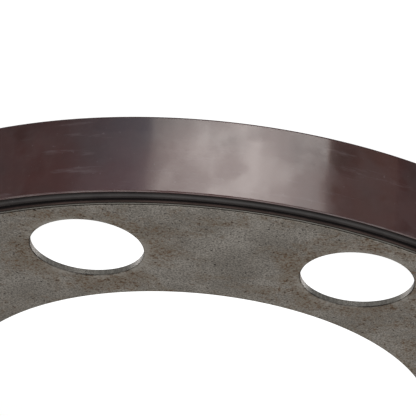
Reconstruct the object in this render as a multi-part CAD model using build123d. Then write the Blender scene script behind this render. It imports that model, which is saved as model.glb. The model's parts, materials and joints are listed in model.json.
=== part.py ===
from build123d import *
import os

# Steel ring
OPENING_RADIUS = 50.0      # central waste opening
RING_WIDTH = 34.0          # opening edge to the ring's visible outer edge
RING_THICKNESS = 1.25      # 18 gauge sheet
HOLE_COUNT = 8
HOLE_RADIUS = 11.0
HOLE_MARGIN = 4.7          # steel left between a hole and the ring's visible outer edge
HOLE_START_ANGLE = 22.5
TONGUE_WIDTH = 1.6         # coined edge that runs on under the retaining hoop
TONGUE_THICKNESS = 0.4
PUNCH_ROLLOVER = 0.12      # chamfer that the punch leaves on the upper edge of each hole

# Moulded collar
COLLAR_HEIGHT = 16.2
RIM_FACE = 5.0             # ring's visible edge to the outside of the collar
COLLAR_WALL = 4.8
LEDGE_REACH = 1.6          # how far the ledge stands under the ring's visible edge
LEDGE_DEPTH = 2.2
LIP_WIDTH = 0.35           # thin lip outside the closing bead
FOOT_ROUND = 0.4
LIP_ROUND = 0.25

# Retaining hoop and closing bead
HOOP_THICKNESS = 0.25
HOOP_UPTURN = 0.45         # turned-up inner edge above the hoop's flat
CHANNEL_SKIN = 0.12        # closing bead's thinnest place, in the channel beside the hoop
CHANNEL_EDGE = 0.16
CHANNEL_INSET = 0.6        # channel bottom to the foot of the bead
BEAD_HALF_WIDTH = 0.9
BEAD_FOOT = 0.15
BEAD_RISE = 1.0
ROOT_DEPTH = 2.0           # how far the bead's root goes down into the collar's groove

# Clearances
RING_PROUD = 0.1           # ring's face above the collar's lip
RING_FLOAT = 0.08           # end play above and below the tongue
SWIVEL_GAP = 0.3           # radial play around the ring
FIT_GAP = 0.05             # assembled pieces that don't move on each other

# Radii that follow
ring_radius = OPENING_RADIUS + RING_WIDTH
hole_circle_radius = ring_radius - HOLE_MARGIN - HOLE_RADIUS
tongue_radius = ring_radius + TONGUE_WIDTH
recess_radius = tongue_radius + SWIVEL_GAP
rim_radius = ring_radius + RIM_FACE
wall_inner_radius = rim_radius - COLLAR_WALL
ledge_radius = ring_radius - LEDGE_REACH
rebate_radius = rim_radius - LIP_WIDTH
hoop_inner_radius = ring_radius + SWIVEL_GAP
upturn_radius = hoop_inner_radius + HOOP_THICKNESS
bead_outer_radius = rebate_radius - FIT_GAP
bead_crest_radius = bead_outer_radius - BEAD_HALF_WIDTH
root_inner_radius = bead_crest_radius - BEAD_HALF_WIDTH / 2
hoop_outer_radius = root_inner_radius - FIT_GAP
groove_radius = root_inner_radius - FIT_GAP

# Heights that follow, from the floor face up
ring_top = COLLAR_HEIGHT + RING_PROUD
ring_bottom = ring_top - RING_THICKNESS
tongue_top = ring_bottom + TONGUE_THICKNESS
ledge_top = ring_bottom - RING_FLOAT
hoop_bottom = tongue_top + RING_FLOAT
hoop_top = hoop_bottom + HOOP_THICKNESS
root_bottom = hoop_bottom - ROOT_DEPTH
groove_bottom = root_bottom - FIT_GAP


def turned(*edges):
    """Solid of revolution about Z from a closed outline of (radius, height) edges."""
    outline = Plane.XZ * make_face(Curve() + list(edges))
    return revolve(outline, Axis.Z, 360)


def edge_circle(body, radius, height):
    """The circular edges of a turned body at one radius and height."""
    return [
        edge
        for edge in body.edges().filter_by(GeomType.CIRCLE)
        if abs(edge.radius - radius) < 0.001 and abs(edge.center().Z - height) < 0.001
    ]


def steel_ring():
    """Flat ring with eight large holes and a coined tongue round its outer edge."""
    plate = turned(
        Polyline(
            (OPENING_RADIUS, ring_bottom),
            (tongue_radius, ring_bottom),
            (tongue_radius, tongue_top),
            (ring_radius, tongue_top),
            (ring_radius, ring_top),
            (OPENING_RADIUS, ring_top),
            close=True,
        )
    )
    punch = Cylinder(HOLE_RADIUS, 3 * RING_THICKNESS)
    for spot in PolarLocations(hole_circle_radius, HOLE_COUNT, HOLE_START_ANGLE):
        plate -= Pos(0, 0, ring_top) * spot * punch
    return chamfer(edge_circle(plate, HOLE_RADIUS, ring_top), PUNCH_ROLLOVER)


def moulded_collar():
    """Outer band with the ledge that carries the ring and the seat for the retaining hoop."""
    collar = turned(
        Polyline(
            (wall_inner_radius, 0),
            (rim_radius, 0),
            (rim_radius, COLLAR_HEIGHT),
            (rebate_radius, COLLAR_HEIGHT),
            (rebate_radius, groove_bottom),
            (groove_radius, groove_bottom),
            (groove_radius, hoop_bottom),
            (recess_radius, hoop_bottom),
            (recess_radius, ledge_top),
            (ledge_radius, ledge_top),
            (ledge_radius, ledge_top - LEDGE_DEPTH),
            (wall_inner_radius, ledge_top - LEDGE_DEPTH - (wall_inner_radius - ledge_radius)),
            close=True,
        )
    )
    collar = fillet(edge_circle(collar, rim_radius, 0), FOOT_ROUND)
    return fillet(edge_circle(collar, rim_radius, COLLAR_HEIGHT), LIP_ROUND)


def retaining_hoop():
    """Thin angle hoop: its flat holds the tongue down, its turned-up edge lines the ring."""
    return turned(
        Polyline(
            (hoop_inner_radius, hoop_bottom),
            (hoop_outer_radius, hoop_bottom),
            (hoop_outer_radius, hoop_top),
            (upturn_radius, hoop_top),
            (upturn_radius, hoop_top + HOOP_UPTURN),
            (hoop_inner_radius, hoop_top + HOOP_UPTURN),
            close=True,
        )
    )


def closing_bead():
    """Rounded bead on a root that grips the collar's groove, with a thin channel over the hoop."""
    inner_foot = bead_crest_radius - BEAD_HALF_WIDTH
    channel = inner_foot - CHANNEL_INSET
    start = upturn_radius + FIT_GAP
    foot_height = hoop_top + BEAD_FOOT
    crest = (bead_crest_radius, hoop_top + BEAD_RISE)
    return turned(
        ThreePointArc((bead_outer_radius, foot_height), crest, (inner_foot, foot_height)),
        Polyline(
            (inner_foot, foot_height),
            (channel, hoop_top + CHANNEL_SKIN),
            (start, hoop_top + CHANNEL_EDGE),
            (start, hoop_top),
            (root_inner_radius, hoop_top),
            (root_inner_radius, root_bottom),
            (bead_outer_radius, root_bottom),
            (bead_outer_radius, foot_height),
        ),
    )


NODES = {
    "steel_ring": steel_ring,
    "moulded_collar": moulded_collar,
    "retaining_hoop": retaining_hoop,
    "closing_bead": closing_bead,
}

os.makedirs("parts", exist_ok=True)
for name, build in NODES.items():
    export_step(build(), f"parts/{name}.step")
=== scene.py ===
import json
import math

import bmesh
import bpy
import numpy as np
from mathutils import Matrix, Vector


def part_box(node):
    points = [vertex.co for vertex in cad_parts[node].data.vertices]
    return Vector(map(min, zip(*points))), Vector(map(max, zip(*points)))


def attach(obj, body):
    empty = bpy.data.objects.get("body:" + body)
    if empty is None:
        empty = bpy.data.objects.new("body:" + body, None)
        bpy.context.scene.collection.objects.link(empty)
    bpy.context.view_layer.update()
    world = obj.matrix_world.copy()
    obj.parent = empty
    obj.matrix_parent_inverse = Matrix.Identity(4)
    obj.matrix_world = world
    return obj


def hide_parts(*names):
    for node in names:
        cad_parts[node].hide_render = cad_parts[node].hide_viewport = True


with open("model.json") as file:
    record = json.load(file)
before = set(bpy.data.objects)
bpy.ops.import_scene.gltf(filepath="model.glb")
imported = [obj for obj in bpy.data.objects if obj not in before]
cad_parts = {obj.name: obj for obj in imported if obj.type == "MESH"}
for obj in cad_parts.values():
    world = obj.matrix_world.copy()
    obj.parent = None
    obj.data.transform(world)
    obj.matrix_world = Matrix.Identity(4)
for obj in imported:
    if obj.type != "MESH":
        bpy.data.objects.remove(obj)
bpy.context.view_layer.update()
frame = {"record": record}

bl_info = {
    "name": "Swivel-ring toilet flange",
    "version": (1, 0, 0),
    "blender": (4, 5, 0),
    "location": "3D View > Sidebar > Flange",
    "description": "Builds the steel ring, moulded collar, hoop and bead of a toilet flange, and its stage",
    "category": "Object",
}

MM = 0.001
MOUNTS = {mount["name"]: mount for mount in frame["record"]["mounts"]}
OPENING_RADIUS = MOUNTS["waste_opening"]["dims"]["r_mm"] * MM
HOLE_RADIUS = MOUNTS["ring_holes"]["dims"]["hole_r_mm"] * MM
HOLE_CIRCLE_RADIUS = MOUNTS["ring_holes"]["dims"]["pcd_mm"] * MM / 2
HOLE_COUNT = MOUNTS["ring_holes"]["dims"]["count"]
RING_LOW, RING_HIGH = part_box("steel_ring")
_, COLLAR_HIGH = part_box("moulded_collar")
HOOP_LOW, HOOP_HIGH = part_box("retaining_hoop")
BEAD_LOW, BEAD_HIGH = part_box("closing_bead")
TURN = 2 * math.pi

# How finely the surfaces are divided
ROUND_STEPS = 640
STAGE_STEPS = 96
ARC_STEPS = 40
SIDE_STEPS = 20
RAY_STEPS = 8
EDGE_STEPS = 5
PUNCH_STEPS = 6
ARCH_STEPS = 24
CHANNEL_STEPS = 12
BEND_STEPS = 11
CARD_POINTS = (9, 5)
# Distances from a hole at which the sheet has a row of points, close together where it is drawn down
ROWS_ABOVE = np.array([0, 0.03, 0.1, 0.22, 0.4, 0.65, 0.95, 1.3, 1.7]) * MM
ROWS_BELOW = np.array([0, 0.05, 0.2]) * MM
# Distance that the ring's outer edge is given, so that it takes no hole's rust or halo
FAR_FROM_HOLE = 30 * MM
# Points closer than this are merged, and corners steeper than this are shaded sharp
WELD_DISTANCE = 0.001 * MM
SHARP_ANGLE = math.radians(40)

# Settings of a Map Range that eases in and out, and of a Mix of two colours
SMOOTH = {"interpolation_type": "SMOOTHSTEP"}
COLOUR = {"data_type": "RGBA"}

# The stage, in metres
FLOOR_RADIUS = 2.6
FLOOR_RINGS = (0, 0.05, 0.2, 1.0, FLOOR_RADIUS)
FLOOR_DROP = 0.02 * MM
FLOOR_GLOW = 0.97
FLOOR_PAPER = "#A0A0A0"
BACKDROP_START = FLOOR_RADIUS - 0.01
BACKDROP_LOW = -0.001
BACKDROP_BEND = 0.8
BACKDROP_HEIGHT = 6.0
BACKDROP_GLOW = 1.0
BACKDROP_PAPER = "#000000"
GLOW_TINT = "#FFFFFF"
ROOM_STRENGTH = 0.06
ROOM_TINT = "#FBFDFF"
OVERHEAD_SIZE = (1.8, 1.2)
OVERHEAD_PLACE = (0.0, -0.25, 1.4)
OVERHEAD_WATTS = 19.0
SOFTBOX_TINT = "#FEF8F4"
WALL_TINT = "#FFDAC9"
SPILL_TINT = "#E2EBFF"
CARD_DISTANCE = 1.0
FRAME_SAG = 0.04
# Turn in degrees, half width, lowest and highest edge in metres, and strength of each shine card
CARDS = (
    (0, 1.0, -0.95, -0.38, 7.4),
    (125, 1.0, -0.95, -0.2, 5.0),
    (-115, 1.0, -0.95, -0.2, 5.0),
    (45, 0.3, -0.16, -0.01, 5.0),
)
CAMERA_LENS = 219.7
CAMERA_SENSOR = 36
CAMERA_CLIP = (0.01, 50)
CAMERA_PLACE = (0.02041, -0.49193, 0.24660)
CAMERA_LOOK = (-0.03373, 0.87019, -0.49156)
CAMERA_UP = (0.11998, -0.48451, -0.86652)


# Shapes


def rounded_outline(corners, arc_steps=6, guard=0.06 * MM):
    """Closed (radius, height) outline with its corners rounded.

    Each corner is (radius, height, round). A rounded corner becomes an arc that touches both of its
    sides: it starts and ends round / tan(half the corner's angle) from the corner, and its centre is
    round / sin(half the angle) along the bisector. A guard point on each side of the arc, a short way
    along the straight, keeps the smooth shading of the arc off the flat."""
    points = np.array([corner[:2] for corner in corners], float)
    outline = []
    for i, (_, _, size) in enumerate(corners):
        here = points[i]
        if size == 0:
            outline.append(here)
            continue
        back = points[i - 1] - here
        ahead = points[(i + 1) % len(points)] - here
        back_length, ahead_length = np.linalg.norm(back), np.linalg.norm(ahead)
        back, ahead = back / back_length, ahead / ahead_length
        half = math.acos(np.clip(back @ ahead, -1, 1)) / 2
        reach = size / math.tan(half)
        middle = back + ahead
        centre = here + middle / np.linalg.norm(middle) * size / math.sin(half)
        first, last = here + back * reach - centre, here + ahead * reach - centre
        sweep = math.pi - 2 * half
        turn = np.sign(first[0] * last[1] - first[1] * last[0])
        angles = turn * sweep * np.linspace(0, 1, arc_steps + 1)
        arc = centre + np.column_stack([
            first[0] * np.cos(angles) - first[1] * np.sin(angles),
            first[0] * np.sin(angles) + first[1] * np.cos(angles),
        ])
        if reach + guard < back_length:
            outline.append(here + back * (reach + guard))
        outline.extend(arc)
        if reach + guard < ahead_length:
            outline.append(here + ahead * (reach + guard))
    return np.array(outline)


def turned_surface(outline, angles, closed=True):
    """Surface of revolution: point (r, z) of the outline at angle a is (r cos a, r sin a, z).

    Returns the points and the faces."""
    radius, height = outline[:, 0], outline[:, 1]
    x = np.outer(np.cos(angles), radius)
    y = np.outer(np.sin(angles), radius)
    z = np.broadcast_to(height, x.shape)
    return np.stack([x, y, z], -1), grid_faces(len(angles), len(outline), True, closed)


def grid_faces(rows, columns, wrap_rows, wrap_columns):
    """Quads that join each grid point to its neighbours in the next row and the next column."""
    row = np.arange(rows if wrap_rows else rows - 1)
    column = np.arange(columns if wrap_columns else columns - 1)
    a, b = np.meshgrid(row, column, indexing="ij")
    next_a, next_b = (a + 1) % rows, (b + 1) % columns
    quads = [a * columns + b, next_a * columns + b, next_a * columns + next_b, a * columns + next_b]
    return np.stack(quads, -1).reshape(-1, 4)


def around(count):
    """Evenly spaced angles once round."""
    return np.arange(count) * TURN / count


def sector_edge(outer, inner, arc_steps, side_steps):
    """Edge of the ring's share round one hole, anticlockwise: outer arc, side, inner arc, side.

    The arcs are points at even angles, and the sides are points at even radii."""
    half = math.pi / HOLE_COUNT
    arc = np.linspace(-half, half, arc_steps + 1)[:-1]
    side = np.linspace(outer, inner, side_steps + 1)[:-1]
    angle = np.concatenate([arc, np.full(side_steps, half), -arc, np.full(side_steps, -half)])
    back_side = np.linspace(inner, outer, side_steps + 1)[:-1]
    radius = np.concatenate([np.full(arc_steps, outer), side, np.full(arc_steps, inner), back_side])
    return np.column_stack([radius * np.cos(angle), radius * np.sin(angle)])


def holed_sheet(outer, inner, hole_radius, steps, height):
    """One face of the ring, as straight rays from each hole's edge to the edge of its share.

    The point at step s of a ray is the hole's edge plus s along the ray, first at fixed distances and
    then at even shares of what is left; its height is height(s). Returns the points, the faces and each
    point's s, for all holes."""
    edge = sector_edge(outer, inner, ARC_STEPS, SIDE_STEPS)
    centre = np.array([HOLE_CIRCLE_RADIUS, 0.0])
    ray = edge - centre
    length = np.linalg.norm(ray, axis=1, keepdims=True)
    ray = ray / length
    near, shares = steps
    rest = length - hole_radius - near[-1]
    distance = np.concatenate([np.broadcast_to(near, (len(edge), len(near))), near[-1] + rest * shares], 1)
    flat = centre + ray[:, None, :] * (hole_radius + distance)[:, :, None]
    return repeat_round(flat, height(distance), distance)


def quarter_round(wall, top, size, steps, side):
    """Outline of a rounded edge from a flat top down to a wall: at turn q it stands size (1 - sin q) to
    the side of the wall, +1 outwards or -1 inwards, and size (1 - cos q) below the top."""
    turn = np.linspace(0, math.pi / 2, steps + 1)
    return np.column_stack([wall + side * size * (1 - np.sin(turn)), top - size * (1 - np.cos(turn))])


def repeat_round(flat, height, distance):
    """Turns one hole's share of the ring round the axis to every hole, as (points, faces, distances)."""
    rows, columns = flat.shape[:2]
    faces = grid_faces(rows, columns, True, False)
    points, all_faces, distances = [], [], []
    for k in range(HOLE_COUNT):
        angle = (k + 0.5) * TURN / HOLE_COUNT
        x = flat[..., 0] * math.cos(angle) - flat[..., 1] * math.sin(angle)
        y = flat[..., 0] * math.sin(angle) + flat[..., 1] * math.cos(angle)
        points.append(np.stack([x, y, height], -1).reshape(-1, 3))
        all_faces.append(faces + k * rows * columns)
        distances.append(distance.reshape(-1))
    return np.concatenate(points), np.concatenate(all_faces), np.concatenate(distances)


def mesh_object(name, points, faces, body, replaced, attributes=None):
    """New smooth mesh object that rides on a body and stands for a node."""
    mesh = bpy.data.meshes.new(name)
    points = np.asarray(points).reshape(-1, 3)
    mesh.from_pydata(points.tolist(), [], faces.tolist())
    for key, values in (attributes or {}).items():
        mesh.attributes.new(key, "FLOAT", "POINT").data.foreach_set("value", values)
    mesh.shade_smooth()
    piece = bpy.data.objects.new(name, mesh)
    bpy.context.scene.collection.objects.link(piece)
    if body is not None:
        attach(piece, body)
        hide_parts(replaced)
    return piece


def weld(piece):
    """Merges points that fall together and turns every face outwards."""
    mesh = bmesh.new()
    mesh.from_mesh(piece.data)
    bmesh.ops.remove_doubles(mesh, verts=mesh.verts, dist=WELD_DISTANCE)
    bmesh.ops.recalc_face_normals(mesh, faces=mesh.faces)
    mesh.to_mesh(piece.data)
    mesh.free()


def stage_object(name, points, faces, material):
    """Mesh of the stage, which isn't part of the flange."""
    piece = mesh_object(name, points, faces, None, None)
    piece.data.materials.append(material)
    return piece


def finish_mesh(piece, material):
    """Welds a piece, keeps its square corners sharp and gives it its material."""
    weld(piece)
    piece.data.set_sharp_from_angle(angle=SHARP_ANGLE)
    piece.data.materials.append(material)


# Materials


def linear(code):
    """Linear colour of an sRGB hex code, by the sRGB standard's own curve."""
    parts = np.array([int(code[i:i + 2], 16) for i in (1, 3, 5)]) / 255
    return tuple(np.where(parts <= 0.04045, parts / 12.92, ((parts + 0.055) / 1.055) ** 2.4).tolist())


def add(tree, kind, inputs=(), **settings):
    """Adds a node. Its settings are the node's own values, and its inputs are socket values or the
    sockets that feed them: a dict by name or number, or a list in the sockets' order."""
    node = tree.nodes.new("ShaderNode" + kind)
    for name, value in settings.items():
        setattr(node, name, value)
    for name, value in inputs.items() if isinstance(inputs, dict) else enumerate(inputs):
        if isinstance(value, bpy.types.NodeSocket):
            tree.links.new(value, node.inputs[name])
        else:
            node.inputs[name].default_value = value
    return node


def new_material(name):
    """Empty node material with its output node, as (material, tree, output)."""
    material = bpy.data.materials.new(name)
    material.use_nodes = True
    tree = material.node_tree
    tree.nodes.clear()
    return material, tree, add(tree, "OutputMaterial")


def per_mm(size):
    """Texture scale whose features are about size millimetres, on coordinates in metres."""
    return 1 / (size * MM)


def pickled_sheet_steel(colours):
    """Hot-rolled sheet steel, pickled and left bare: dull grey with a fine salt-and-pepper grain from the
    rolls, soft cloudy patches, dark etched pits, a few rusted scratches, and a thin brown bloom of rust
    that starts at the holes. The punch leaves rubbed steel round each hole, lightened further by a painted
    sheen where the sheet is drawn down, and upright marks on its wall. A painted shadow darkens the lower
    edge of each hole's wall, and a broken dark line runs round its upper edge.
    The real grain's size isn't known: 0.38 mm is about the finest that shows from the camera.

    The edge_distance attribute is the distance to the nearest hole along the sheet, in millimetres, and
    is negative down the cut walls: the depth below the face."""
    material, tree, output = new_material("pickled_sheet_steel")
    place = add(tree, "TexCoord").outputs["Object"]
    edge = add(tree, "Attribute", attribute_name="edge_distance").outputs["Fac"]
    lengthways = add(tree, "Mapping", {
        "Vector": place, "Rotation": (0, 0, 0.3), "Scale": (0.13, 1, 1)}).outputs[0]
    upright = add(tree, "Mapping", {"Vector": place, "Scale": (1, 1, 0.12)}).outputs[0]
    grain = add(tree, "TexNoise", {
        "Vector": place, "Scale": per_mm(0.38), "Detail": 3.0, "Roughness": 0.8}).outputs[0]
    speck = add(tree, "TexNoise", {
        "Vector": place, "Scale": per_mm(0.55), "Detail": 2.0, "Roughness": 0.6}).outputs[0]
    cloud = add(tree, "TexNoise", {
        "Vector": place, "Scale": per_mm(11), "Detail": 7.0, "Roughness": 0.7,
        "Distortion": 0.4}).outputs[0]
    rust_patch = add(tree, "TexNoise", {
        "Vector": place, "Scale": per_mm(12), "Detail": 7.0, "Roughness": 0.78,
        "Distortion": 0.8}).outputs[0]
    scratch = add(tree, "TexNoise", {
        "Vector": lengthways, "Scale": per_mm(0.9), "Detail": 2.0, "Roughness": 0.5}).outputs[0]
    shear = add(tree, "TexNoise", {
        "Vector": upright, "Scale": per_mm(0.7), "Detail": 3.0, "Roughness": 0.7}).outputs[0]

    cloudiness = add(tree, "MapRange", [cloud, 0.36, 0.64], **SMOOTH).outputs[0]
    cloudy = add(tree, "Mix", {
        0: cloudiness, 6: (*colours.steel_dark, 1), 7: (*colours.steel_light, 1)}, **COLOUR).outputs[2]
    pepper = add(tree, "MapRange", [grain, 0.27, 0.73, 0.35, 1.65], **SMOOTH).outputs[0]
    peppered = add(tree, "VectorMath", {0: cloudy, "Scale": pepper}, operation="SCALE").outputs[0]

    near_hole = add(tree, "MapRange", [edge, 0.0, 9.0, 0.12, 0.0], **SMOOTH).outputs[0]
    raised = add(tree, "Math", [rust_patch, near_hole], operation="ADD").outputs[0]
    stain_share = add(tree, "MapRange", [raised, 0.47, 0.66, 0.0, 0.45], **SMOOTH).outputs[0]
    stained = add(tree, "Mix", {0: stain_share, 6: peppered, 7: (*colours.stain, 1)}, **COLOUR).outputs[2]
    rust_area = add(tree, "MapRange", [raised, 0.48, 0.64, 0.0, 0.9], **SMOOTH).outputs[0]
    rust_speck = add(tree, "MapRange", [speck, 0.51, 0.60], **SMOOTH).outputs[0]
    rust_share = add(tree, "Math", [rust_area, rust_speck], operation="MULTIPLY").outputs[0]
    rusty = add(tree, "Mix", {0: rust_share, 6: stained, 7: (*colours.rust, 1)}, **COLOUR).outputs[2]
    scratch_line = add(tree, "MapRange", [scratch, 0.69, 0.73, 0.0, 0.8], **SMOOTH).outputs[0]
    scratched = add(tree, "Mix", {0: scratch_line, 6: rusty, 7: (*colours.rust, 1)}, **COLOUR).outputs[2]
    pit = add(tree, "MapRange", [speck, 0.645, 0.685], **SMOOTH).outputs[0]
    pitted = add(tree, "Mix", {0: pit, 6: scratched, 7: (*colours.pit, 1)}, **COLOUR).outputs[2]

    # Lighter halo round each hole: steel rubbed by the punch, and a painted sheen where the sheet is drawn
    # down.
    halo = add(tree, "MapRange", [edge, 0.2, 2.0, 0.55, 0.0], **SMOOTH).outputs[0]
    halo_part = add(tree, "MapRange", [cloud, 0.44, 0.56], **SMOOTH).outputs[0]
    rub_share = add(tree, "Math", [halo, halo_part], operation="MULTIPLY").outputs[0]
    rubbed = add(tree, "Mix", {0: rub_share, 6: pitted, 7: (*colours.steel_rubbed, 1)}, **COLOUR).outputs[2]
    shear_mark = add(tree, "MapRange", [shear, 0.36, 0.64], **SMOOTH).outputs[0]
    sheared = add(tree, "Mix", {
        0: shear_mark, 6: (*colours.cut_dark, 1), 7: (*colours.cut_steel, 1)}, **COLOUR).outputs[2]
    cut = add(tree, "MapRange", [edge, -0.10, -0.16], **SMOOTH).outputs[0]
    walled = add(tree, "Mix", {0: cut, 6: rubbed, 7: sheared}, **COLOUR).outputs[2]
    # Broken dark line round each hole's upper edge, drawn in the pits' colour.
    line_below = add(tree, "MapRange", [edge, -0.26, -0.12], **SMOOTH).outputs[0]
    line_above = add(tree, "MapRange", [edge, 0.14, 0.0], **SMOOTH).outputs[0]
    whole_line = add(tree, "Math", [line_below, line_above], operation="MULTIPLY").outputs[0]
    line_part = add(tree, "MapRange", [cloud, 0.42, 0.55, 0.9, 0.35], **SMOOTH).outputs[0]
    rim_line = add(tree, "Math", [whole_line, line_part], operation="MULTIPLY").outputs[0]
    lined = add(tree, "Mix", {0: rim_line, 6: walled, 7: (*colours.pit, 1)}, **COLOUR).outputs[2]
    # Painted shadow along the lower edge of each hole's wall, drawn in the pits' colour.
    back_line = add(tree, "MapRange", [edge, -0.95, -1.2, 0.0, 0.55], **SMOOTH).outputs[0]
    finished = add(tree, "Mix", {0: back_line, 6: lined, 7: (*colours.pit, 1)}, **COLOUR).outputs[2]

    rough_face = add(tree, "Math", [grain, pit], operation="SUBTRACT").outputs[0]
    face_only = add(tree, "MapRange", [cut, 0.0, 1.0, 1.0, 0.0], **SMOOTH).outputs[0]
    relief = add(tree, "Math", [rough_face, face_only], operation="MULTIPLY").outputs[0]
    bump = add(tree, "Bump", {"Strength": 0.3, "Distance": 0.04 * MM, "Height": relief}).outputs[0]
    roughness = add(tree, "MapRange", [cut, 0.0, 1.0, 0.55, 0.42], **SMOOTH).outputs[0]
    metallic = add(tree, "MapRange", [cut, 0.0, 1.0, 0.3, 0.0], **SMOOTH).outputs[0]
    steel = add(tree, "BsdfPrincipled", {
        "Base Color": finished, "Roughness": roughness, "Metallic": metallic, "Normal": bump}).outputs[0]
    tree.links.new(steel, output.inputs[0])
    return material


def phenolic_moulding(colours):
    """Glossy compression-moulded phenolic, dark red-brown: a hard shine whose reflections wander a little
    with the mould, duller patches where it has been handled, light smears that run round the band, and
    a paler, rubbed lip."""
    material, tree, output = new_material("phenolic_moulding")
    place = add(tree, "TexCoord").outputs["Object"]
    round_band = add(tree, "Mapping", {"Vector": place, "Scale": (1, 1, 8)}).outputs[0]
    tone = add(tree, "TexNoise", {
        "Vector": place, "Scale": per_mm(26), "Detail": 4.0, "Roughness": 0.6}).outputs[0]
    smear = add(tree, "TexNoise", {
        "Vector": round_band, "Scale": per_mm(17), "Detail": 6.0, "Roughness": 0.7}).outputs[0]
    hand = add(tree, "TexNoise", {
        "Vector": place, "Scale": per_mm(15), "Detail": 3.0, "Roughness": 0.5,
        "Distortion": 0.6}).outputs[0]
    mottle = add(tree, "TexNoise", {
        "Vector": place, "Scale": per_mm(6), "Detail": 5.0, "Roughness": 0.65}).outputs[0]
    dust = add(tree, "TexNoise", {
        "Vector": place, "Scale": per_mm(0.8), "Detail": 2.0, "Roughness": 0.5}).outputs[0]
    wander = add(tree, "TexNoise", {
        "Vector": place, "Scale": per_mm(12), "Detail": 1.0, "Roughness": 0.4}).outputs[0]
    height = add(tree, "SeparateXYZ", [place]).outputs["Z"]
    rim_height = COLLAR_HIGH.z

    low_red = add(tree, "MapRange", [height, 2 * MM, 15 * MM, -0.06, 0.10], **SMOOTH).outputs[0]
    redness = add(tree, "Math", [tone, low_red], operation="ADD").outputs[0]
    red_share = add(tree, "MapRange", [redness, 0.32, 0.72], **SMOOTH).outputs[0]
    body = add(tree, "Mix", {
        0: red_share, 6: (*colours.moulding_dark, 1), 7: (*colours.moulding_red, 1)}, **COLOUR).outputs[2]
    handled = add(tree, "MapRange", [hand, 0.43, 0.55], **SMOOTH).outputs[0]
    hand_film = add(tree, "MapRange", [handled, 0.0, 1.0, 0.0, 0.10], **SMOOTH).outputs[0]
    touched = add(tree, "Mix", {0: hand_film, 6: body, 7: (*colours.film, 1)}, **COLOUR).outputs[2]
    mottle_film = add(tree, "MapRange", [mottle, 0.40, 0.66, 0.0, 0.08], **SMOOTH).outputs[0]
    mottled = add(tree, "Mix", {0: mottle_film, 6: touched, 7: (*colours.film, 1)}, **COLOUR).outputs[2]
    smear_film = add(tree, "MapRange", [smear, 0.56, 0.72, 0.0, 0.45], **SMOOTH).outputs[0]
    smeared = add(tree, "Mix", {0: smear_film, 6: mottled, 7: (*colours.film, 1)}, **COLOUR).outputs[2]
    dust_spot = add(tree, "MapRange", [dust, 0.70, 0.78, 0.0, 0.35], **SMOOTH).outputs[0]
    dusty = add(tree, "Mix", {0: dust_spot, 6: smeared, 7: (*colours.film, 1)}, **COLOUR).outputs[2]
    lip = add(tree, "MapRange", [
        height, rim_height - 0.3 * MM, rim_height - 0.12 * MM], **SMOOTH).outputs[0]
    lip_part = add(tree, "MapRange", [mottle, 0.36, 0.58, 0.0, 0.3], **SMOOTH).outputs[0]
    lip_wear = add(tree, "Math", [lip, lip_part], operation="MULTIPLY").outputs[0]
    worn = add(tree, "Mix", {0: lip_wear, 6: dusty, 7: (*colours.worn_edge, 1)}, **COLOUR).outputs[2]

    ripple = add(tree, "Bump", {"Strength": 0.5, "Distance": 0.10 * MM, "Height": wander}).outputs[0]
    skin = add(tree, "Bump", {
        "Strength": 0.05, "Distance": 0.02 * MM, "Height": dust, "Normal": ripple}).outputs[0]
    roughness = add(tree, "MapRange", [handled, 0.0, 1.0, 0.10, 0.18], **SMOOTH).outputs[0]
    polish = add(tree, "Mix", {0: 0.45, 2: hand, 3: mottle}).outputs[0]
    shine = add(tree, "MapRange", [polish, 0.41, 0.57, 0.53, 0.24], **SMOOTH).outputs[0]
    moulding = add(tree, "BsdfPrincipled", {
        "Base Color": worn, "Roughness": roughness, "IOR": 1.4, "Normal": skin,
        "Coat Weight": shine, "Coat Roughness": 0.05, "Coat Normal": skin}).outputs[0]
    tree.links.new(moulding, output.inputs[0])
    return material


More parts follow.
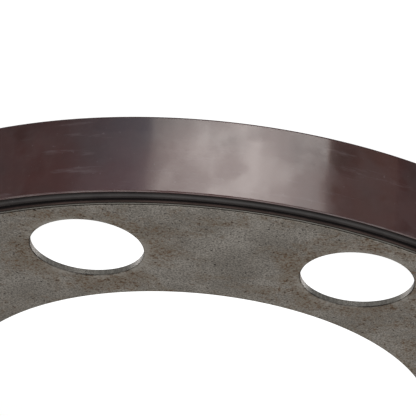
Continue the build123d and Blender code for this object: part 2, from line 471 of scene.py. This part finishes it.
def satin_moulding(colours):
    """The same phenolic as the band, from a duller part of the mould, with painted light on it: its crest
    greyed by dust and a painted sheen, painted shade that makes the bead's foot nearly black, and a painted
    reflection that lightens the channel to red-brown towards the hoop.

    The section attribute runs from 0 at the bead's inner foot to 1 at its crest and its outer side, and
    to -1 along the channel at the hoop."""
    material, tree, output = new_material("satin_moulding")
    place = add(tree, "TexCoord").outputs["Object"]
    section = add(tree, "Attribute", attribute_name="section").outputs["Fac"]
    tone = add(tree, "TexNoise", {
        "Vector": place, "Scale": per_mm(6), "Detail": 4.0, "Roughness": 0.6}).outputs[0]
    dust = add(tree, "TexNoise", {
        "Vector": place, "Scale": per_mm(0.6), "Detail": 2.0, "Roughness": 0.6}).outputs[0]

    # Painted shade makes the bead's foot and the channel nearly black, and a painted reflection lightens the
    # channel to red-brown towards the hoop.
    rub_share = add(tree, "MapRange", [section, -0.6, -1.0], **SMOOTH).outputs[0]
    rubbed = add(tree, "Mix", {
        0: rub_share, 6: (*colours.bead_dark, 1), 7: (*colours.bead_brown, 1)}, **COLOUR).outputs[2]
    # Crest and outer side greyed by dust and by a painted sheen, which stands for a broad soft highlight.
    crest = add(tree, "MapRange", [section, 0.35, 0.95, 0.0, 0.85], **SMOOTH).outputs[0]
    greyed = add(tree, "Mix", {0: crest, 6: rubbed, 7: (*colours.bead_dust, 1)}, **COLOUR).outputs[2]
    dark_part = add(tree, "MapRange", [tone, 0.42, 0.66, 0.0, 0.4], **SMOOTH).outputs[0]
    uneven = add(tree, "Mix", {0: dark_part, 6: greyed, 7: (*colours.bead_dark, 1)}, **COLOUR).outputs[2]
    dust_spot = add(tree, "MapRange", [dust, 0.68, 0.76, 0.0, 0.35], **SMOOTH).outputs[0]
    dusty = add(tree, "Mix", {0: dust_spot, 6: uneven, 7: (*colours.film, 1)}, **COLOUR).outputs[2]
    skin = add(tree, "Bump", {"Strength": 0.12, "Distance": 0.02 * MM, "Height": dust}).outputs[0]
    roughness = add(tree, "MapRange", [section, -0.05, 0.5, 0.2, 0.5], **SMOOTH).outputs[0]
    moulding = add(tree, "BsdfPrincipled", {
        "Base Color": dusty, "Roughness": roughness, "IOR": 1.4, "Normal": skin}).outputs[0]
    tree.links.new(moulding, output.inputs[0])
    return material


def bright_strip_steel(colours):
    """Cold-rolled strip, sheared and rolled into a hoop: a thin dull edge that catches the light in
    dashes."""
    material, tree, output = new_material("bright_strip_steel")
    place = add(tree, "TexCoord").outputs["Object"]
    wear = add(tree, "TexNoise", {
        "Vector": place, "Scale": per_mm(3), "Detail": 5.0, "Roughness": 0.7}).outputs[0]
    tint = add(tree, "Mix", {
        0: wear, 6: (*colours.hoop_dull, 1), 7: (*colours.hoop_bright, 1)}, **COLOUR).outputs[2]
    roughness = add(tree, "MapRange", [wear, 0.3, 0.7, 0.35, 0.6]).outputs[0]
    steel = add(tree, "BsdfPrincipled", {
        "Base Color": tint, "Roughness": roughness, "Metallic": 0.6}).outputs[0]
    tree.links.new(steel, output.inputs[0])
    return material


def studio_white(strength, paper_tint):
    """Matt paper that glows, so that it stays plain and pale under the object."""
    material, tree, output = new_material("studio_white")
    glow = add(tree, "Emission", {"Color": (*linear(GLOW_TINT), 1), "Strength": strength}).outputs[0]
    paper = add(tree, "BsdfDiffuse", {"Color": (*linear(paper_tint), 1)}).outputs[0]
    both = add(tree, "AddShader", [glow, paper]).outputs[0]
    tree.links.new(both, output.inputs[0])
    material.cycles.emission_sampling = "NONE"
    return material


def softbox_glow(strength):
    """Diffuser cloth lit from behind: brightest a little to one side of the middle, ending at the frame,
    whose sides aren't quite straight, with a cool spill of light on the wall beyond one end and a faint
    warm one beyond the other. The places are metres across the card from its middle."""
    material, tree, output = new_material("softbox_glow")
    place = add(tree, "TexCoord").outputs["Object"]
    along = add(tree, "SeparateXYZ", [place]).outputs["X"]
    cloth = add(tree, "TexNoise", {"Vector": place, "Scale": 14.0, "Detail": 4.0}).outputs[0]
    sag = add(tree, "MapRange", [cloth, 0.35, 0.65, -FRAME_SAG, FRAME_SAG]).outputs[0]
    across = add(tree, "Math", [along, sag], operation="ADD").outputs[0]

    far_side = add(tree, "MapRange", [across, -0.485, -0.44], **SMOOTH).outputs[0]
    near_side = add(tree, "MapRange", [across, 0.395, 0.335], **SMOOTH).outputs[0]
    inside = add(tree, "Math", [far_side, near_side], operation="MULTIPLY").outputs[0]
    far_fall = add(tree, "MapRange", [along, -0.40, -0.14, 0.62, 1.0]).outputs[0]
    near_fall = add(tree, "MapRange", [along, 0.37, 0.10, 0.40, 1.0]).outputs[0]
    falloff = add(tree, "Math", [far_fall, near_fall], operation="MULTIPLY").outputs[0]
    uneven = add(tree, "MapRange", [cloth, 0.38, 0.62, 0.82, 1.10]).outputs[0]
    lit = add(tree, "Math", [inside, falloff], operation="MULTIPLY").outputs[0]
    box = add(tree, "Math", [lit, uneven], operation="MULTIPLY").outputs[0]

    spill_start = add(tree, "MapRange", [across, 0.34, 0.38], **SMOOTH).outputs[0]
    spill_fall = add(tree, "MapRange", [along, 0.95, 0.36, 0.0, 0.16]).outputs[0]
    spill = add(tree, "Math", [spill_start, spill_fall], operation="MULTIPLY").outputs[0]
    wall_start = add(tree, "MapRange", [across, -0.44, -0.48], **SMOOTH).outputs[0]
    wall_rise = add(tree, "MapRange", [along, -0.64, -0.69, 0.035, 0.055], **SMOOTH).outputs[0]
    wall_near = add(tree, "MapRange", [along, -0.60, -0.46, 0.0, 0.03], **SMOOTH).outputs[0]
    wall_level = add(tree, "Math", [wall_rise, wall_near], operation="ADD").outputs[0]
    wall = add(tree, "Math", [wall_start, wall_level], operation="MULTIPLY").outputs[0]
    beyond = add(tree, "Math", [spill, wall], operation="ADD").outputs[0]
    share = add(tree, "Math", [box, beyond], operation="ADD").outputs[0]

    warm = add(tree, "Mix", {
        0: wall_start, 6: (*linear(SOFTBOX_TINT), 1), 7: (*linear(WALL_TINT), 1)}, **COLOUR).outputs[2]
    cool_share = add(tree, "MapRange", [across, 0.33, 0.42], **SMOOTH).outputs[0]
    tint = add(tree, "Mix", {0: cool_share, 6: warm, 7: (*linear(SPILL_TINT), 1)}, **COLOUR).outputs[2]
    power = add(tree, "Math", [share, strength], operation="MULTIPLY").outputs[0]
    glow = add(tree, "Emission", {"Color": tint, "Strength": power}).outputs[0]
    tree.links.new(glow, output.inputs[0])
    material.cycles.emission_sampling = "FRONT_BACK"
    return material


# What a user would change


def length(name, about, size):
    """A size in millimetres as a length property."""
    return bpy.props.FloatProperty(
        name=name, description=about, default=size * MM, min=0.0, max=100 * MM, precision=5,
        unit="LENGTH", subtype="DISTANCE")


def colour(name, about, code):
    """An sRGB hex code as a colour property."""
    return bpy.props.FloatVectorProperty(
        name=name, description=about, default=linear(code), size=3, min=0.0, max=1.0, subtype="COLOR")


class FlangeSizes(bpy.types.PropertyGroup):
    """Sizes that the frame doesn't give: edges, rounds and the section of the rim."""

    tongue_width: length("Tongue width", "Coined edge of the ring that runs under the hoop", 1.6)
    tongue_thickness: length("Tongue thickness", "Steel left in the coined edge", 0.4)
    sheet_round: length("Sheet edge round", "Round on the ring's outer and inner edges", 0.12)
    punch_round: length("Punch round", "Round that the punch leaves on a hole's upper edge", 0.12)
    punch_sink: length("Punch sink", "How far the sheet is drawn down beside a hole", 0.04)
    punch_reach: length("Punch reach", "How far from a hole the sheet is drawn down", 1.3)
    collar_wall: length("Collar wall", "Thickness of the collar's wall", 4.8)
    ledge_reach: length("Ledge reach", "How far the ledge stands in from the tongue's edge", 3.2)
    ledge_depth: length("Ledge depth", "Height of the ledge's inner edge", 2.2)
    foot_round: length("Foot round", "Round on the collar's outer floor edge", 0.4)
    lip_round: length("Lip round", "Round on the collar's lip and on its inner edges", 0.25)
    rebate_round: length("Rebate round", "Round on the lip's inner edge, beside the bead", 0.04)
    seat_clearance: length("Seat clearance", "Play between the ring and the ledge", 0.08)
    swivel_gap: length("Swivel gap", "Radial play round the ring", 0.3)
    fit_gap: length("Fit gap", "Play between assembled pieces of the rim", 0.05)
    hoop_thickness: length("Hoop thickness", "Strip thickness of the retaining hoop", 0.25)
    hoop_round: length("Hoop round", "Round on the hoop's sheared edges", 0.08)
    bead_half_width: length("Bead half width", "Half of the bead's width", 0.9)
    bead_foot: length("Bead foot", "Foot of the bead above the hoop's flat", 0.15)
    channel_skin: length("Channel skin", "Moulding left under the channel", 0.12)
    channel_edge: length("Channel edge", "Moulding beside the hoop's edge", 0.16)


class FlangeColours(bpy.types.PropertyGroup):
    """Colours of the flange's materials."""

    steel_light: colour("Steel light", "Lighter clouds of the bare steel", "#928C84")
    steel_dark: colour("Steel dark", "Darker clouds of the bare steel", "#7C766E")
    # Lighter steel round each hole: rubbed by the punch, with a painted sheen where the sheet is drawn down.
    steel_rubbed: colour("Steel rubbed", "Halo that the punch rubs round a hole", "#A39E96")
    stain: colour("Stain", "Brown stain round the rust", "#776A58")
    rust: colour("Rust", "Rust specks", "#68503A")
    # The pits' colour also draws the painted shadow along the lower edge of each hole's wall, and the dark
    # line round each hole's upper edge.
    pit: colour("Pit", "Etched pits", "#2B2520")
    cut_steel: colour("Cut steel", "Sheared walls of the holes", "#98958D")
    cut_dark: colour("Cut dark", "Dark shear marks on the walls of the holes", "#7D7A73")
    moulding_dark: colour("Moulding dark", "Dark tone of the red-brown moulding", "#3F302F")
    moulding_red: colour("Moulding red", "Red tone of the moulding", "#4F2F2C")
    film: colour("Handling film", "Dull smears on the moulding", "#75686A")
    worn_edge: colour("Worn edge", "Rubbed edge of the lip", "#8A7F7C")
    # The bead's own dark tone, and the painted shade that makes its foot and the channel nearly black.
    bead_dark: colour("Bead dark", "Foot of the bead", "#0A0505")
    # Painted reflection that lightens the channel towards the hoop.
    bead_brown: colour("Bead brown", "Rubbed edge of the channel", "#544541")
    # Dust on the bead's crest, with the painted sheen there.
    bead_dust: colour("Bead dust", "Dusty crest of the bead", "#332E2C")
    hoop_dull: colour("Hoop dull", "Dull parts of the hoop's edge", "#6C6862")
    hoop_bright: colour("Hoop bright", "Rubbed parts of the hoop's edge", "#9F9B92")


# Pieces


class FLANGE_OT_steel_ring(bpy.types.Operator):
    """Flat swivelling ring with its round holes, punched from sheet steel"""

    bl_idname = "flange.steel_ring"
    bl_label = "Steel ring"

    def execute(self, context):
        """Upper and lower face with their holes, the holes' walls, and the outer and inner edge turned
        round the axis. Their rows of points meet, and the weld joins them into one closed surface."""
        sizes = context.scene.flange_sizes
        top, bottom = RING_HIGH.z, RING_LOW.z
        tongue_radius = RING_HIGH.x
        visible_radius = tongue_radius - sizes.tongue_width
        edge = sizes.sheet_round
        punch = sizes.punch_round
        shares = np.linspace(0, 1, RAY_STEPS + 1)[1:]

        def sunk(distance):
            """Sheet drawn down beside a hole: a half cosine that dies out over the punch's reach."""
            share = np.clip(distance / sizes.punch_reach, 0, 1)
            return top - sizes.punch_sink * (1 + np.cos(math.pi * share)) / 2

        def flat(distance):
            """Flat underside: the same height at every distance."""
            return np.full(distance.shape, bottom)

        upper = holed_sheet(
            visible_radius - edge, OPENING_RADIUS + edge, HOLE_RADIUS + punch, (ROWS_ABOVE, shares), sunk)
        lower = holed_sheet(
            tongue_radius, OPENING_RADIUS, HOLE_RADIUS, (ROWS_BELOW, shares), flat)
        wall = self.hole_walls(
            (visible_radius - edge, OPENING_RADIUS + edge), (tongue_radius, OPENING_RADIUS),
            punch, top - sizes.punch_sink, bottom)
        outer, inner = self.outer_edge(sizes), self.inner_edge(sizes)
        angles = self.edge_angles()
        outside = turned_surface(outer, angles, closed=False)
        inside = turned_surface(inner, angles, closed=False)

        far_from_hole = np.full(outside[0].shape[:2], FAR_FROM_HOLE)
        depth = np.broadcast_to(inner[:, 1] - top, inside[0].shape[:2])
        points, faces, distance, start = [], [], [], 0
        for part in (upper, lower, wall, (*outside, far_from_hole), (*inside, depth)):
            spots = part[0].reshape(-1, 3)
            points.append(spots)
            faces.append(part[1] + start)
            start += len(spots)
            distance.append(np.ravel(part[2]) / MM)
        ring = mesh_object(
            "steel_ring_sheet", np.concatenate(points), np.concatenate(faces), "ring",
            "steel_ring", {"edge_distance": np.concatenate(distance)})
        finish_mesh(ring, pickled_sheet_steel(context.scene.flange_colours))
        return {"FINISHED"}

    def edge_angles(self):
        """Angles of the ring's edges, the same as those of the arcs of all the shares."""
        arc = np.linspace(-math.pi, math.pi, ARC_STEPS + 1)[:-1] / HOLE_COUNT
        return np.concatenate([(k + 0.5) * TURN / HOLE_COUNT + arc for k in range(HOLE_COUNT)])

    def outer_edge(self, sizes):
        """Outline of the outer edge, downwards: a quarter round, a step, and the coined tongue."""
        top, bottom = RING_HIGH.z, RING_LOW.z
        tongue, tongue_top = RING_HIGH.x, bottom + sizes.tongue_thickness
        visible = tongue - sizes.tongue_width
        edge = sizes.sheet_round
        return np.vstack([
            quarter_round(visible, top, edge, EDGE_STEPS, -1),
            (visible, tongue_top + edge), (visible, tongue_top), (visible + edge, tongue_top),
            (tongue - edge / 2, tongue_top), (tongue, tongue_top - edge / 2), (tongue, bottom)])

    def inner_edge(self, sizes):
        """Outline of the opening's edge, downwards: a quarter round and the opening's wall."""
        top, bottom = RING_HIGH.z, RING_LOW.z
        edge = sizes.sheet_round
        return np.vstack([
            quarter_round(OPENING_RADIUS, top, edge, EDGE_STEPS, 1),
            (OPENING_RADIUS, top - 2 * edge), (OPENING_RADIUS, bottom + edge), (OPENING_RADIUS, bottom)])

    def hole_walls(self, upper_edge, lower_edge, punch, top, bottom):
        """Walls of the holes: a quarter round of the punch's radius, then straight down to the underside.

        The columns follow the upper sheet's rays, so the round meets it point for point."""
        guard = 0.4 * punch
        outline = np.vstack([
            quarter_round(HOLE_RADIUS, top, punch, PUNCH_STEPS, 1),
            (HOLE_RADIUS, top - punch - guard), (HOLE_RADIUS, bottom + guard), (HOLE_RADIUS, bottom)])
        radius, height = outline[:, 0], outline[:, 1]
        share = np.clip((top - height) / (top - bottom), 0, 1)
        upper, lower = self.directions(*upper_edge), self.directions(*lower_edge)
        angle = upper[:, None] + (lower - upper)[:, None] * share
        flat = np.stack([HOLE_CIRCLE_RADIUS + radius * np.cos(angle), radius * np.sin(angle)], -1)
        heights = np.broadcast_to(height, angle.shape)
        return repeat_round(flat, heights, heights - top)

    def directions(self, outer, inner):
        """Direction of each ray from the hole's centre to the edge of its share of the ring."""
        ray = sector_edge(outer, inner, ARC_STEPS, SIDE_STEPS) - np.array([HOLE_CIRCLE_RADIUS, 0.0])
        return np.unwrap(np.arctan2(ray[:, 1], ray[:, 0]))


class FLANGE_OT_moulded_collar(bpy.types.Operator):
    """Outer band of the flange, with the ledge that carries the ring"""

    bl_idname = "flange.moulded_collar"
    bl_label = "Moulded collar"

    def execute(self, context):
        """Section of wall, ledge, recess, groove and lip, turned round the axis. Its corners are rounded
        where no other piece covers them."""
        sizes = context.scene.flange_sizes
        rim, height = COLLAR_HIGH.x, COLLAR_HIGH.z
        wall = rim - sizes.collar_wall
        rebate = BEAD_HIGH.x + sizes.fit_gap
        groove = HOOP_HIGH.x
        groove_floor = BEAD_LOW.z - sizes.fit_gap
        seat = HOOP_LOW.z
        recess = RING_HIGH.x + sizes.swivel_gap
        ledge = RING_LOW.z - sizes.seat_clearance
        ledge_edge = RING_HIGH.x - sizes.ledge_reach
        ledge_under = ledge - sizes.ledge_depth
        outline = rounded_outline([
            (wall, 0, sizes.lip_round),
            (rim, 0, sizes.foot_round),
            (rim, height, sizes.lip_round),
            (rebate, height, sizes.rebate_round),
            (rebate, groove_floor, 0),
            (groove, groove_floor, 0),
            (groove, seat, 0),
            (recess, seat, 0),
            (recess, ledge, 0),
            (ledge_edge, ledge, sizes.lip_round),
            (ledge_edge, ledge_under, sizes.lip_round),
            (wall, ledge_under - (wall - ledge_edge), sizes.lip_round),
        ])
        points, faces = turned_surface(outline, around(ROUND_STEPS))
        collar = mesh_object(
            "moulded_collar_band", points, faces, "collar", "moulded_collar")
        finish_mesh(collar, phenolic_moulding(context.scene.flange_colours))
        return {"FINISHED"}


class FLANGE_OT_retaining_hoop(bpy.types.Operator):
    """Thin angle hoop that holds the ring's tongue down; only its turned-up edge shows"""

    bl_idname = "flange.retaining_hoop"
    bl_label = "Retaining hoop"

    def execute(self, context):
        """Angle section turned round the axis. The edges of its inner face and its upper end are rounded."""
        sizes = context.scene.flange_sizes
        inner = RING_HIGH.x - sizes.tongue_width + sizes.swivel_gap
        flat_top = HOOP_LOW.z + sizes.hoop_thickness
        upturn = inner + sizes.hoop_thickness
        outline = rounded_outline([
            (inner, HOOP_LOW.z, sizes.hoop_round),
            (HOOP_HIGH.x, HOOP_LOW.z, 0),
            (HOOP_HIGH.x, flat_top, 0),
            (upturn, flat_top, 0),
            (upturn, HOOP_HIGH.z, sizes.hoop_round),
            (inner, HOOP_HIGH.z, sizes.hoop_round),
        ], arc_steps=4, guard=0.02 * MM)
        points, faces = turned_surface(outline, around(ROUND_STEPS))
        hoop = mesh_object(
            "retaining_hoop_strip", points, faces, "collar", "retaining_hoop")
        finish_mesh(hoop, bright_strip_steel(context.scene.flange_colours))
        return {"FINISHED"}


class FLANGE_OT_closing_bead(bpy.types.Operator):
    """Rounded bead and channel that close the rim over the hoop"""

    bl_idname = "flange.closing_bead"
    bl_label = "Closing bead"

    def execute(self, context):
        """Section turned round the axis: the bead is half an ellipse, the channel is a straight slope
        less half a sine wave, and the root below them has square corners."""
        sizes = context.scene.flange_sizes
        outer = BEAD_HIGH.x
        half = sizes.bead_half_width
        crest = outer - half
        flat_top = HOOP_LOW.z + sizes.hoop_thickness
        foot = flat_top + sizes.bead_foot
        rise = BEAD_HIGH.z - foot
        arch = np.linspace(0, math.pi, ARCH_STEPS + 1)
        bead = np.column_stack([crest + half * np.cos(arch), foot + rise * np.sin(arch)])
        start = RING_HIGH.x - sizes.tongue_width + sizes.swivel_gap + sizes.hoop_thickness + sizes.fit_gap
        along = np.linspace(0, 1, CHANNEL_STEPS + 1)[1:]
        inner_foot = crest - half
        dip = foot - (flat_top + sizes.channel_skin)
        end_rise = sizes.channel_edge - sizes.bead_foot
        channel = np.column_stack([
            inner_foot + (start - inner_foot) * along,
            foot + end_rise * along - dip * np.sin(math.pi * along)])
        root_inner = HOOP_HIGH.x + sizes.fit_gap
        below = np.array([
            (start, flat_top), (root_inner, flat_top), (root_inner, BEAD_LOW.z), (outer, BEAD_LOW.z)])
        outline = np.vstack([bead, channel, below])[::-1]
        bead_share = np.where(arch < math.pi / 2, 1.0, np.sin(arch))
        section = np.concatenate([bead_share, -along, np.full(len(below), -1.0)])[::-1]
        points, faces = turned_surface(outline, around(ROUND_STEPS))
        rim_bead = mesh_object(
            "closing_bead_round", points, faces, "collar", "closing_bead",
            {"section": np.tile(section, ROUND_STEPS)})
        finish_mesh(rim_bead, satin_moulding(context.scene.flange_colours))
        return {"FINISHED"}


class FLANGE_OT_stage(bpy.types.Operator):
    """Pale floor and backdrop, soft lights and the camera"""

    bl_idname = "flange.stage"
    bl_label = "Stage"

    def execute(self, context):
        """Floor and backdrop are turned round the axis, and the shine cards are flat."""
        scene = context.scene
        self.floor()
        self.backdrop()
        self.soft_lights(scene)
        self.camera(scene)
        scene.view_settings.view_transform = "Standard"
        return {"FINISHED"}

    def floor(self):
        """Flat disc just under the object."""
        outline = np.column_stack([FLOOR_RINGS, np.full(len(FLOOR_RINGS), -FLOOR_DROP)])
        points, faces = turned_surface(outline, around(STAGE_STEPS), closed=False)
        floor = stage_object("studio_floor", points, faces, studio_white(FLOOR_GLOW, FLOOR_PAPER))
        weld(floor)
        floor.visible_glossy = False

    def backdrop(self):
        """Wall that carries the floor's white up behind the object, all the way round: its outline is a
        quarter round up from the floor's edge, and then one nearly upright line."""
        turn = np.linspace(0, math.pi / 2, BEND_STEPS + 1)
        outline = np.column_stack([
            BACKDROP_START + BACKDROP_BEND * np.sin(turn),
            BACKDROP_LOW + BACKDROP_BEND * (1 - np.cos(turn))])
        outline = np.vstack([outline, (FLOOR_RADIUS + BACKDROP_BEND, BACKDROP_HEIGHT)])
        points, faces = turned_surface(outline, around(STAGE_STEPS), closed=False)
        wall = stage_object("studio_backdrop", points, faces, studio_white(BACKDROP_GLOW, BACKDROP_PAPER))
        for ray in ("visible_glossy", "visible_diffuse", "visible_shadow", "visible_transmission"):
            setattr(wall, ray, False)

    def soft_lights(self, scene):
        """Large overhead softbox, a dim room, and soft cards that only shine back from glossy surfaces."""
        world = bpy.data.worlds.new("studio_room")
        world.use_nodes = True
        room = world.node_tree.nodes["Background"]
        room.inputs["Color"].default_value = (*linear(ROOM_TINT), 1)
        room.inputs["Strength"].default_value = ROOM_STRENGTH
        scene.world = world
        box = bpy.data.lights.new("overhead_softbox", "AREA")
        box.shape = "RECTANGLE"
        box.size, box.size_y = OVERHEAD_SIZE
        box.energy = OVERHEAD_WATTS
        lamp = bpy.data.objects.new("overhead_softbox", box)
        lamp.location = OVERHEAD_PLACE
        scene.collection.objects.link(lamp)
        for turn, half_width, low, high, strength in CARDS:
            self.card(turn, half_width, (low, high), softbox_glow(strength))

    def card(self, turn, half_width, heights, glow):
        """Upright card below the floor line, turned round the axis and facing the object."""
        across = np.linspace(-half_width, half_width, CARD_POINTS[0])
        up = np.linspace(*heights, CARD_POINTS[1])
        x, z = np.meshgrid(across, up, indexing="ij")
        points = np.stack([x, np.full(x.shape, -CARD_DISTANCE), z], -1)
        faces = grid_faces(len(across), len(up), False, False)
        card = stage_object(f"shine_card_{turn}", points, faces, glow)
        card.rotation_euler = (0, 0, math.radians(turn))
        for ray in ("visible_camera", "visible_diffuse", "visible_shadow", "visible_transmission"):
            setattr(card, ray, False)

    def camera(self, scene):
        """Long lens close above the rim, turned nearly upside down."""
        lens = bpy.data.cameras.new("camera")
        lens.lens = CAMERA_LENS
        lens.sensor_width = CAMERA_SENSOR
        lens.clip_start, lens.clip_end = CAMERA_CLIP
        camera = bpy.data.objects.new("camera", lens)
        back = -Vector(CAMERA_LOOK).normalized()
        right = Vector(CAMERA_UP).cross(back).normalized()
        up = back.cross(right)
        turn = Matrix((right, up, back)).transposed().to_4x4()
        camera.matrix_world = Matrix.Translation(CAMERA_PLACE) @ turn
        scene.collection.objects.link(camera)
        scene.camera = camera


class FLANGE_PT_panel(bpy.types.Panel):
    """Sizes, colours and pieces of the flange"""

    bl_idname = "FLANGE_PT_panel"
    bl_label = "Toilet flange"
    bl_space_type = "VIEW_3D"
    bl_region_type = "UI"
    bl_category = "Flange"

    def draw(self, context):
        for operator in OPERATORS:
            self.layout.operator(operator.bl_idname)
        for group in (context.scene.flange_sizes, context.scene.flange_colours):
            for name in group.__annotations__:
                self.layout.prop(group, name)


OPERATORS = (
    FLANGE_OT_steel_ring,
    FLANGE_OT_moulded_collar,
    FLANGE_OT_retaining_hoop,
    FLANGE_OT_closing_bead,
    FLANGE_OT_stage,
)
CLASSES = (FlangeSizes, FlangeColours, *OPERATORS, FLANGE_PT_panel)


def register():
    for cls in CLASSES:
        bpy.utils.register_class(cls)
    bpy.types.Scene.flange_sizes = bpy.props.PointerProperty(type=FlangeSizes)
    bpy.types.Scene.flange_colours = bpy.props.PointerProperty(type=FlangeColours)


def unregister():
    del bpy.types.Scene.flange_sizes
    del bpy.types.Scene.flange_colours
    for cls in reversed(CLASSES):
        bpy.utils.unregister_class(cls)


def main():
    register()
    bpy.ops.flange.steel_ring()
    bpy.ops.flange.moulded_collar()
    bpy.ops.flange.retaining_hoop()
    bpy.ops.flange.closing_bead()
    bpy.ops.flange.stage()


if __name__ == "__main__":
    main()
